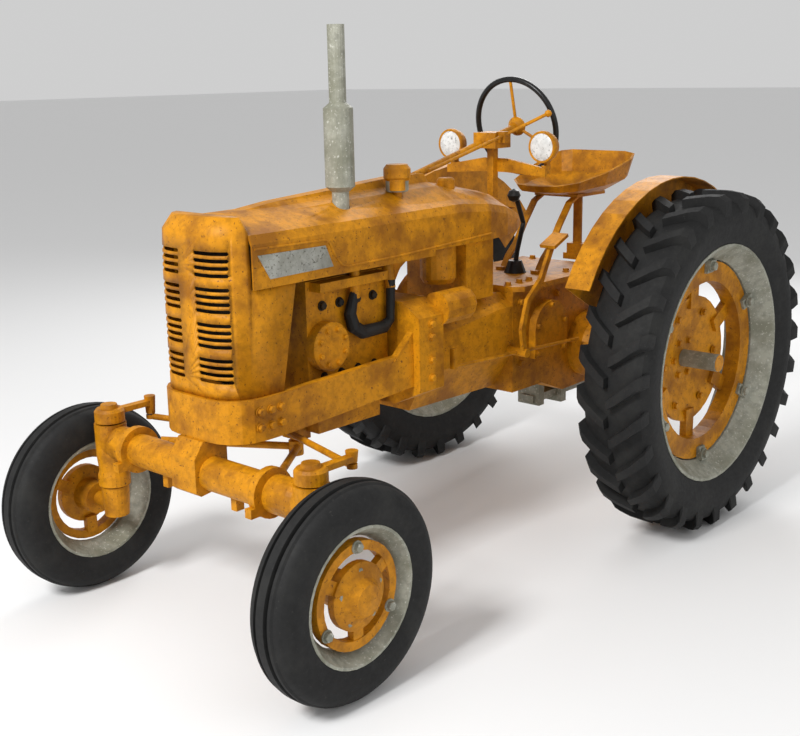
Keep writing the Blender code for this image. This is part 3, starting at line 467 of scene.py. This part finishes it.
@dataclass
class RearTyre:
    """A drive tyre with two staggered rows of curved bars.

    Attributes:
        radius: Full radius, over the bars.
        bead: Radius where the tyre meets its rim.
        bar_height: How far the bars stand out of the tread's floor.
        bars: How many there are in a row.
        bar_width: A bar's width along the tread.
        sweep: How far a bar turns round the wheel, in radians.
    """

    radius: float = 0.7206
    bead: float = 0.504
    bar_height: float = 0.034
    bars: int = 27
    bar_width: float = 0.046
    sweep: float = 0.150

    stations = (
        BarStation(0.0060, 0.000, 0.006, 0.00, 0.90),
        BarStation(0.0400, 0.000, 0.008, 0.22, 1.00),
        BarStation(0.0850, 0.001, 0.012, 0.55, 1.00),
        BarStation(0.1220, 0.008, 0.030, 0.86, 1.12),
        BarStation(0.1445, 0.030, 0.050, 1.00, 1.25),
        BarStation(0.1455, 0.072, 0.080, 1.02, 1.20),
    )
    foot_spread = 0.62  # half width of a bar's foot, as a share of bar_width
    top_spread = 0.46
    shoulder = 0.13  # past this, a bar's foot is sunk into the sidewall
    shoulder_inset = 0.010

    def build(self, label: str) -> None:
        """Builds one tyre.

        Args:
            label: left or right.
        """
        node = f"rear_tyre_{label}"
        centre = middle(node)
        floor = self.radius - self.bar_height
        bead = self.bead
        half = [(bead, -0.118), (bead + 0.014, -0.124), (bead + 0.030, -0.128), (bead + 0.075, -0.142),
                (bead + 0.110, -0.143), (floor - 0.050, -0.138), (floor - 0.022, -0.126),
                (floor - 0.006, -0.095), (floor, -0.040)]
        profile = half + [(r, -h) for r, h in reversed(half)]
        shape = bmesh.new()
        Meshes.add_lathe(shape, profile, wheel_turn(centre), 120)
        for _, row in SIDES:
            for k in range(self.bars):
                start = math.tau * (k + (0.5 if row < 0 else 0)) / self.bars
                self.add_bar(shape, centre, start, row)
        dress(Meshes.place(f"lugged_tyre_{label}", shape, 30), TYRE, f"rear_wheel_{label}", node)

    def add_bar(self, shape: bmesh.types.BMesh, centre: Vector, start: float, row: int) -> None:
        """Adds one bar, from near the middle of the tread down over the shoulder.

        Args:
            shape: The tyre's mesh data.
            centre: The middle of the wheel.
            start: Where on the circle the bar's inner end is, in radians.
            row: 1 for the bars on the +Y side, -1 for the others.
        """
        loops = []
        for station in self.stations:
            angle = start - station.turned * self.sweep
            top = self.radius - station.drop
            foot = self.radius - self.bar_height - station.sink
            inset = self.shoulder_inset if station.across > self.shoulder else 0.0
            loop = []
            for reach, spread, back in ((foot, self.foot_spread, inset), (top, self.top_spread, 0.0),
                                        (top, -self.top_spread, 0.0), (foot, -self.foot_spread, inset)):
                a = angle + spread * station.wide * self.bar_width / self.radius
                across = row * (station.across - back)
                loop.append(centre + Vector((reach * math.sin(a), across, reach * math.cos(a))))
            loops.append(loop)
        Meshes.add_loft(shape, loops)


@dataclass
class FrontTyre:
    """A steering tyre with three ribs and two grooves.

    Attributes:
        radius: Full radius.
        bead: Radius where the tyre meets its rim.
    """

    radius: float = 0.3625
    bead: float = 0.232

    def build(self, label: str) -> None:
        """Builds one tyre.

        Args:
            label: left or right.
        """
        node = f"front_tyre_{label}"
        r, bead = self.radius, self.bead
        half = [(bead, 0.073), (bead + 0.012, 0.077), (bead + 0.040, 0.0815), (bead + 0.062, 0.0825),
                (r - 0.048, 0.079), (r - 0.026, 0.068), (r - 0.016, 0.058), (r - 0.012, 0.046),
                (r - 0.005, 0.040), (r - 0.003, 0.030), (r - 0.016, 0.027), (r - 0.016, 0.019), (r, 0.016)]
        profile = half + [(radius, -h) for radius, h in reversed(half)]
        shape = bmesh.new()
        Meshes.add_lathe(shape, profile, wheel_turn(middle(node)), 96)
        dress(Meshes.place(f"ribbed_tyre_{label}", shape, 30), TYRE, f"front_wheel_{label}", node)


@dataclass
class WheelIron:
    """The clamps and bolts of one side's wheels.

    Attributes:
        label: left or right.
        side: 1 on the left, -1 on the right.
    """

    label: str
    side: int

    rear_clamps: int = 6
    clamp_circle: float = 0.408
    clamp_face: float = 0.0345  # of the channel ring, out from the wheel's middle
    clamp_half: float = 0.024
    front_clamps: int = 3
    front_clamp_circle: float = 0.163
    front_hub_bolts: int = 5

    @property
    def out(self) -> Vector:
        """The way out from the tractor on this side."""
        return Vector((0, self.side, 0))

    @staticmethod
    def spoke(turns: float) -> Vector:
        """The way from a wheel's centre at that share of a full turn."""
        return Vector((math.cos(math.tau * turns), 0, math.sin(math.tau * turns)))

    def build(self) -> None:
        """Builds every piece of ironwork."""
        self.rear_rim_clamps()
        self.rear_hub_bolts()
        self.front_bolts()

    def rear_rim_clamps(self) -> None:
        """Builds the wedges that hold the rear rim on its ring, each under a bolt."""
        centre = middle(f"rear_tyre_{self.label}")
        shape = bmesh.new()
        for k in range(self.rear_clamps):
            way = self.spoke((k + 0.5) / self.rear_clamps)
            across = Vector((-way.z, 0, way.x))
            foot = centre + way * self.clamp_circle + self.out * self.clamp_face
            wedge = []
            for reach, rise in ((-0.030, 0.012), (0.026, 0.030)):
                corners = ((-self.clamp_half, 0), (self.clamp_half, 0), (self.clamp_half, rise),
                           (-self.clamp_half, rise))
                wedge.append([foot + way * reach + across * w + self.out * h for w, h in corners])
            Meshes.add_loft(shape, wedge)
            Meshes.add_bolt(shape, foot + self.out * 0.020, self.out, 0.034)
        piece = Meshes.place(f"rear_rim_clamps_{self.label}", shape)
        dress(piece, BARE, f"rear_wheel_{self.label}")

    def rear_hub_bolts(self) -> None:
        """Builds the two circles of bolts on the rear wheel's disc."""
        centre = middle(f"rear_tyre_{self.label}")
        shape = bmesh.new()
        for k in range(self.rear_clamps):
            way = self.spoke(k / self.rear_clamps)
            Meshes.add_bolt(shape, centre + way * 0.215 - self.out * 0.0335, self.out, 0.026)
            Meshes.add_bolt(shape, centre + way * 0.080 - self.out * 0.0625, self.out, 0.024)
        piece = Meshes.place(f"rear_hub_bolts_{self.label}", shape)
        dress(piece, PAINT, f"rear_wheel_{self.label}")

    def front_bolts(self) -> None:
        """Builds the bolts of the front wheel's ring and hub."""
        centre = middle(f"front_tyre_{self.label}")
        shape = bmesh.new()
        for k in range(self.front_clamps):
            way = self.spoke(0.25 + k / self.front_clamps)
            Meshes.add_bolt(shape, centre + way * self.front_clamp_circle + self.out * 0.0502, self.out, 0.030)
        for k in range(self.front_hub_bolts):
            way = self.spoke((k + 0.25) / self.front_hub_bolts)
            Meshes.add_bolt(shape, centre + way * 0.088 + self.out * 0.0565, self.out, 0.018)
        piece = Meshes.place(f"front_wheel_bolts_{self.label}", shape)
        dress(piece, BARE, f"front_wheel_{self.label}")


# ---------------------------------------------------------------- sheet metal


@dataclass
class Grille:
    """The radiator shell with its slotted front.

    Attributes:
        top_slot: Height of the highest slot.
        pitch: From one slot to the next in a group.
        opening: A slot's height.
        groups: How many groups there are, one above another.
        group_pitch: From one group to the next.
        slots_in_group: How many slots a group has on each side.
        slot_inner: Where a slot starts, from the centre line.
        slot_outer: Where it ends.
    """

    top_slot: float = 1.375
    pitch: float = 0.024
    opening: float = 0.013
    groups: int = 4
    group_pitch: float = 0.119
    slots_in_group: int = 4
    slot_inner: float = 0.038
    slot_outer: float = 0.172

    taper = 0.004  # of a slot's pointed ends
    cut_behind = 0.130  # how far the cutter reaches behind the shell's front
    cut_ahead = 0.020

    def build(self) -> None:
        """Cuts the slots in a copy of the shell."""
        node = frame["nodes"]["grille_shell"]
        shell = bpy.data.objects.new("slotted_shell", node.data.copy())
        bpy.context.scene.collection.objects.link(shell)
        cutter = self.cutter(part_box("grille_shell")[1].x)
        modifier = shell.modifiers.new("slots", "BOOLEAN")
        modifier.operation = "DIFFERENCE"
        modifier.solver = "EXACT"
        modifier.object = cutter
        graph = bpy.context.evaluated_depsgraph_get()
        cut = bpy.data.meshes.new_from_object(shell.evaluated_get(graph))
        shell.modifiers.clear()
        shell.data = cut
        bpy.data.objects.remove(cutter)
        dress(shell, PAINT, "chassis", "grille_shell")

    def cutter(self, front: float) -> bpy.types.Object:
        """Builds the bars that cut the slots.

        Args:
            front: The shell's most forward X.

        Returns:
            The cutter, hidden from the view and the render.
        """
        shape = bmesh.new()
        for group in range(self.groups):
            for k in range(self.slots_in_group):
                z = self.top_slot - group * self.group_pitch - k * self.pitch
                for _, side in SIDES:
                    self.add_slot(shape, front, sorted((side * self.slot_inner, side * self.slot_outer)), z)
        cutter = Meshes.place("slot_cutter", shape)
        cutter.hide_render = True
        cutter.hide_viewport = True
        return cutter

    def add_slot(self, shape: bmesh.types.BMesh, front: float, ends: Sequence[float], z: float) -> None:
        """Adds the bar of one slot.

        Args:
            shape: The cutter's mesh data.
            front: The shell's most forward X.
            ends: The slot's lower and higher Y.
            z: The slot's height.
        """
        low, high = ends
        half = self.opening / 2
        outline = ((low, 0), (low + self.taper, half), (high - self.taper, half), (high, 0),
                   (high - self.taper, -half), (low + self.taper, -half))
        Meshes.add_loft(shape, [[(x, y, z + dz) for y, dz in outline]
                                for x in (front - self.cut_behind, front + self.cut_ahead)])


@dataclass
class HoodTrim:
    """The bead along each side of the hood and the tank, and the blank badge plates.

    Attributes:
        bead_out: The bead's middle line, out from the centre line.
        bead_radius: The bead's radius.
        hood_bead: The bead's route on the hood, as X and Z from the rear axle.
        tank_bead: Its route on the tank.
        badge: The plate's corners, as X and Z from the rear axle.
    """

    bead_out: float = 0.2155
    bead_radius: float = 0.0045
    hood_bead: Outline = ((1.961, 1.384), (1.641, 1.379), (1.620, 1.371), (1.590, 1.320), (1.560, 1.283),
                          (1.528, 1.273), (1.260, 1.276), (1.052, 1.284))
    tank_bead: Outline = ((1.048, 1.284), (0.890, 1.290), (0.702, 1.298))
    badge: Outline = ((1.948, 1.363), (1.639, 1.360), (1.603, 1.283), (1.897, 1.279))

    # The plate's sections: out from the centre line, and how far the corners draw in
    badge_steps = ((0.2140, 0.0), (0.2180, 0.0), (0.2190, 0.004))

    def build(self) -> None:
        """Builds the trim of both sides."""
        for label, side in SIDES:
            for name, route in (("hood_bead", self.hood_bead), ("tank_bead", self.tank_bead)):
                shape = bmesh.new()
                Meshes.add_tube(shape, [at(x, side * self.bead_out, z) for x, z in route], self.bead_radius, 8)
                dress(Meshes.place(f"{name}_{label}", shape), PAINT, "chassis")
            self.badge_plate(label, side)

    def badge_plate(self, label: str, side: int) -> None:
        """Builds one blank plate with softened edges.

        Args:
            label: left or right.
            side: 1 on the left, -1 on the right.
        """
        corners = [Vector(corner) for corner in self.badge]
        centre = sum(corners, Vector((0, 0))) / len(corners)
        loops = []
        for reach, inset in self.badge_steps:
            spots = [corner + (centre - corner).normalized() * inset for corner in corners]
            loops.append([at(spot.x, side * reach, spot.y) for spot in spots])
        shape = bmesh.new()
        Meshes.add_loft(shape, loops)
        dress(Meshes.place(f"badge_plate_{label}", shape), BADGE, "chassis")


# ---------------------------------------------------------------- castings and engine


@dataclass
class CastingBolts:
    """Bolts on the castings, the frame, the pump and the deck.

    Attributes:
        size: The usual head's width.
        rail: Places on the nose band, as X and Z from the rear axle.
        case: Places on the transmission case's side.
        cover: Places on its side cover.
        housing: Heights on the flywheel housing's side.
    """

    size: float = 0.024
    rail: Outline = ((1.975, 0.785), (1.975, 0.840), (1.925, 0.785), (1.925, 0.840), (1.880, 0.785),
                     (1.880, 0.840))
    case: Outline = ((0.233, 0.983), (0.098, 0.976), (-0.034, 0.980), (0.500, 0.985), (0.500, 0.720),
                     (-0.100, 0.700))
    cover: Outline = ((0.222, 0.750), (0.418, 0.750), (0.222, 0.870), (0.418, 0.870), (0.320, 0.950))
    housing: tuple[float, ...] = (0.800, 0.870, 0.960, 1.010)

    housing_x = 1.156
    rail_face = 0.2215  # each face's distance from the centre line
    case_face = 0.2148
    cover_face = 0.2498
    housing_face = 0.2798
    pump_bolts = 8
    pump_circle = 0.066
    pump_face = 0.0248
    deck_x = (-0.12, 0.10, 0.38, 0.45, 0.53)
    deck_y = (-0.17, 0.17)

    def build(self) -> None:
        """Builds all the bolts."""
        for label, side in SIDES:
            self.side_bolts(label, side)
        self.round_pump()
        self.on_deck()

    def side_bolts(self, label: str, side: int) -> None:
        """Builds the bolts of one side.

        Args:
            label: left or right.
            side: 1 on the left, -1 on the right.
        """
        out = Vector((0, side, 0))
        shape = bmesh.new()
        for x, z in self.rail:
            Meshes.add_bolt(shape, at(x, side * self.rail_face, z), out, self.size)
        for x, z in self.case:
            Meshes.add_bolt(shape, at(x, side * self.case_face, z), out, self.size)
        for x, z in self.cover:
            Meshes.add_bolt(shape, at(x, side * self.cover_face, z), out, self.size * 0.8)
        for z in self.housing:
            Meshes.add_bolt(shape, at(self.housing_x, side * self.housing_face, z), out, self.size)
        dress(Meshes.place(f"casting_bolts_{label}", shape), PAINT, "chassis")

    def round_pump(self) -> None:
        """Builds the circle of bolts on the pump's face."""
        centre = middle("pump_drum")
        shape = bmesh.new()
        for k in range(self.pump_bolts):
            a = math.tau * (k + 0.5) / self.pump_bolts
            spot = Vector((self.pump_circle * math.cos(a), self.pump_face, self.pump_circle * math.sin(a)))
            Meshes.add_bolt(shape, centre + spot, Vector((0, 1, 0)), 0.017)
        dress(Meshes.place("pump_bolts", shape), PAINT, "chassis")

    def on_deck(self) -> None:
        """Builds the bolts that hold the deck plate down."""
        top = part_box("deck_plate")[1].z
        shape = bmesh.new()
        for x in self.deck_x:
            for y in self.deck_y:
                Meshes.add_bolt(shape, at(x, y, top), UP, self.size)
        dress(Meshes.place("deck_bolts", shape), PAINT, "chassis")


@dataclass
class EngineTrim:
    """The manifold with its two pipes, and the bolts on the block's side.

    Attributes:
        pipes: The ends of each pipe, from the rear axle.
        pipe_radius: Their radius.
        cylinders: How many bolts stand in each row.
        spacing: From one bolt to the next.
    """

    pipes: tuple[tuple[Point, Point], ...] = (
        ((1.440, 0.158, 1.140), (1.440, 0.158, 1.240)),
        ((1.246, 0.158, 1.150), (1.246, 0.140, 1.250)),
    )
    pipe_radius: float = 0.019
    cylinders: int = 4
    spacing: float = 0.088

    manifold_x = (1.290, 1.640)
    manifold_y = (0.131, 0.185)
    manifold_z = (1.190, 1.222)
    first_bolt = (1.320, 0.1305, 1.130)
    lower_row = 0.26  # below the first row

    def build(self) -> None:
        """Builds the trim."""
        shape = bmesh.new()
        for start, stop in self.pipes:
            Meshes.add_tube(shape, (at(*start), at(*stop)), self.pipe_radius, 14)
        (inner, outer), (low, high) = self.manifold_y, self.manifold_z
        Meshes.add_loft(shape, [[at(x, inner, low), at(x, outer, low), at(x, outer, high), at(x, inner, high)]
                                for x in self.manifold_x])
        dress(Meshes.place("intake_manifold", shape), PAINT, "chassis")
        shape = bmesh.new()
        out = Vector((0, 1, 0))
        for k in range(self.cylinders):
            spot = at(*self.first_bolt) + Vector((k * self.spacing, 0, 0))
            Meshes.add_bolt(shape, spot, out, 0.026)
            Meshes.add_bolt(shape, spot - UP * self.lower_row, out, 0.022)
        dress(Meshes.place("engine_bolts", shape), IRON, "chassis")


@dataclass
class BareSleeves:
    """The bare metal of the axle shafts and of the intake's dust bowl.

    Attributes:
        shaft: A shaft's profile, radius and distance out from the wheel's middle.
        bowl: The bowl's profile, radius and height above the ground.
    """

    shaft: Outline = ((0, -0.060), (0.0368, -0.060), (0.0368, 0.106), (0.034, 0.1095), (0, 0.1095))
    bowl: Outline = ((0.020, 1.496), (0.040, 1.496), (0.0435, 1.502), (0.0435, 1.544), (0.020, 1.544))

    def build(self) -> None:
        """Builds them."""
        for label, side in SIDES:
            shape = bmesh.new()
            Meshes.add_lathe(shape, self.shaft, wheel_turn(middle(f"rear_tyre_{label}"), -90 * side), 32)
            dress(Meshes.place(f"axle_shaft_{label}", shape), BARE, f"rear_wheel_{label}")
        shape = bmesh.new()
        Meshes.add_lathe(shape, self.bowl, Matrix.Translation(at(1.135, 0.100, 0)), 32)
        dress(Meshes.place("dust_bowl", shape), BARE, "chassis")


# ---------------------------------------------------------------- driver's place


@dataclass
class Lamps:
    """The lenses and rims of the two headlamps.

    Attributes:
        face: The middle of the left lens, from the rear axle.
        lens: The lens's profile, radius and distance ahead of the face.
        rim: The rim's profile.
    """

    face: Point = (0.400, 0.244, 1.622)
    lens: Outline = ((0, -0.004), (0.057, -0.004), (0.057, 0.002), (0.045, 0.008), (0.024, 0.012), (0, 0.013))
    rim: Outline = ((0.056, -0.010), (0.0655, -0.010), (0.0665, -0.002), (0.0640, 0.005), (0.056, 0.004))

    def build(self) -> None:
        """Builds both lamps' lenses and rims."""
        for label, side in SIDES:
            x, y, z = self.face
            turn = Matrix.Translation(at(x, side * y, z)) @ Matrix.Rotation(math.radians(90), 4, "Y")
            shape = bmesh.new()
            Meshes.add_lathe(shape, self.lens, turn, 32)
            dress(Meshes.place(f"lamp_lens_{label}", shape), LENS, "chassis")
            shape = bmesh.new()
            Meshes.add_lathe(shape, self.rim, turn, 32)
            dress(Meshes.place(f"lamp_rim_{label}", shape), PAINT, "chassis")


@dataclass
class SteeringWheel:
    """The black rim, its three painted spokes and the boss.

    Attributes:
        hub: The wheel's middle, from the rear axle.
        slope: How far the shaft runs down towards the front, in degrees.
        radius: From the hub to the middle of the rim.
        thick: The rim's own radius.
        spokes: How many there are.
        boss: The boss's profile, radius and distance towards the driver.
    """

    hub: Point = (0.246, 0.0, 1.695)
    slope: float = 13.3
    radius: float = 0.205
    thick: float = 0.0125
    spokes: int = 3
    boss: Outline = ((0, -0.021), (0.024, -0.021), (0.040, -0.004), (0.042, 0.004), (0.038, 0.014),
                     (0.022, 0.020), (0.020, 0.026), (0, 0.026))

    rim_facets = 14
    spoke_radius = 0.0068

    def build(self) -> None:
        """Builds the wheel round its shaft's axis."""
        turn = Matrix.Translation(at(*self.hub))
        turn = turn @ Matrix.Rotation(-(math.pi / 2 - math.radians(self.slope)), 4, "Y")
        shape = bmesh.new()
        angles = [math.tau * k / self.rim_facets for k in range(self.rim_facets)]
        section = [(self.radius + self.thick * math.cos(a), self.thick * math.sin(a)) for a in angles]
        Meshes.add_lathe(shape, section, turn, 72)
        dress(Meshes.place("wheel_grip", shape, 60), PLASTIC, "steering_wheel", "steering_wheel")
        shape = bmesh.new()
        for k in range(self.spokes):
            a = math.tau * k / self.spokes
            tip = Vector((math.cos(a), math.sin(a), 0)) * self.radius
            Meshes.add_tube(shape, (turn @ (tip * 0.1), turn @ (tip * 0.97)), self.spoke_radius, 10)
        Meshes.add_lathe(shape, self.boss, turn, 28)
        dress(Meshes.place("wheel_spokes", shape), PAINT, "steering_wheel")


# ---------------------------------------------------------------- stage


class SoftBox(NamedTuple):
    """A square area light aimed at the tractor."""

    name: str
    spot: Point
    power: float
    size: float


@dataclass
class Studio:
    """The pale floor, the soft lights and the camera.

    Attributes:
        eye: The camera's place, from the rear axle.
        yaw: The way it looks, in degrees from +X.
        pitch: Its tilt up, in degrees.
        roll: Its turn about its own axis, in degrees.
        lens: Its focal length, in millimetres.
        sensor: Its sensor's width, in millimetres.
        aim: The point that the lights face.
        floor_half: Half the floor's side.
        floor_z: The floor's height, just under the tyres.
        floor_tone: The floor's grey.
        sky: The strength of the light from all round.
    """

    eye: Point = (4.48313, 3.12594, 1.94232)
    yaw: float = -137.8626
    pitch: float = -14.1293
    roll: float = -1.0775
    lens: float = 53.308
    sensor: float = 36.0
    aim: Point = (0, 0, 0.8)
    floor_half: float = 90.0
    floor_z: float = -0.001
    floor_tone: float = 0.80
    sky: float = 0.62

    lights = (
        SoftBox("key", (6.0, 0.8, 5.5), 480, 1.6),
        SoftBox("fill", (0.5, 6.0, 3.0), 40, 3.5),
        SoftBox("rim", (-5.0, -2.5, 4.0), 160, 3.0),
    )

    def build(self) -> None:
        """Builds the stage."""
        self.floor()
        self.light()
        self.camera()

    def floor(self) -> None:
        """Builds the floor, which isn't part of the tractor."""
        far = self.floor_half
        shape = bmesh.new()
        corners = ((-far, -far), (far, -far), (far, far), (-far, far))
        shape.faces.new([shape.verts.new((x, y, self.floor_z)) for x, y in corners])
        floor = Meshes.place("floor", shape)
        material = bpy.data.materials.new("pale_floor")
        material.use_nodes = True
        shader = material.node_tree.nodes["Principled BSDF"]
        shader.inputs["Base Color"].default_value = (self.floor_tone, self.floor_tone, self.floor_tone, 1)
        shader.inputs["Roughness"].default_value = 0.9
        floor.data.materials.append(material)

    def light(self) -> None:
        """Builds the sky and the soft boxes."""
        world = bpy.data.worlds.new("studio")
        world.use_nodes = True
        background = world.node_tree.nodes["Background"]
        background.inputs["Color"].default_value = (1, 1, 1, 1)
        background.inputs["Strength"].default_value = self.sky
        bpy.context.scene.world = world
        for box in self.lights:
            light = bpy.data.lights.new(box.name, "AREA")
            light.energy = box.power
            light.size = box.size
            lamp = bpy.data.objects.new(box.name, light)
            lamp.location = box.spot
            lamp.rotation_euler = (Vector(self.aim) - lamp.location).to_track_quat("-Z", "Y").to_euler()
            bpy.context.scene.collection.objects.link(lamp)

    def camera(self) -> None:
        """Builds the camera and makes it the scene's own."""
        yaw, pitch, roll = (math.radians(v) for v in (self.yaw, self.pitch, self.roll))
        ahead = Vector((math.cos(pitch) * math.cos(yaw), math.cos(pitch) * math.sin(yaw), math.sin(pitch)))
        level = ahead.cross(UP).normalized()
        raised = level.cross(ahead)
        right = math.cos(roll) * level + math.sin(roll) * raised
        up = -math.sin(roll) * level + math.cos(roll) * raised
        data = bpy.data.cameras.new("camera")
        data.lens = self.lens
        data.sensor_width = self.sensor
        camera = bpy.data.objects.new("camera", data)
        turn = Matrix((right, up, -ahead)).transposed().to_4x4()
        camera.matrix_world = Matrix.Translation(at(*self.eye)) @ turn
        bpy.context.scene.collection.objects.link(camera)
        bpy.context.scene.camera = camera


def main() -> None:
    logging.basicConfig(level=logging.INFO)
    bpy.context.scene.view_settings.view_transform = "Standard"
    KeptNodes().build()
    for label, side in SIDES:
        RearTyre().build(label)
        FrontTyre().build(label)
        WheelIron(label, side).build()
    Grille().build()
    HoodTrim().build()
    CastingBolts().build()
    Lamps().build()
    EngineTrim().build()
    SteeringWheel().build()
    BareSleeves().build()
    Studio().build()


if __name__ == "__main__":
    main()
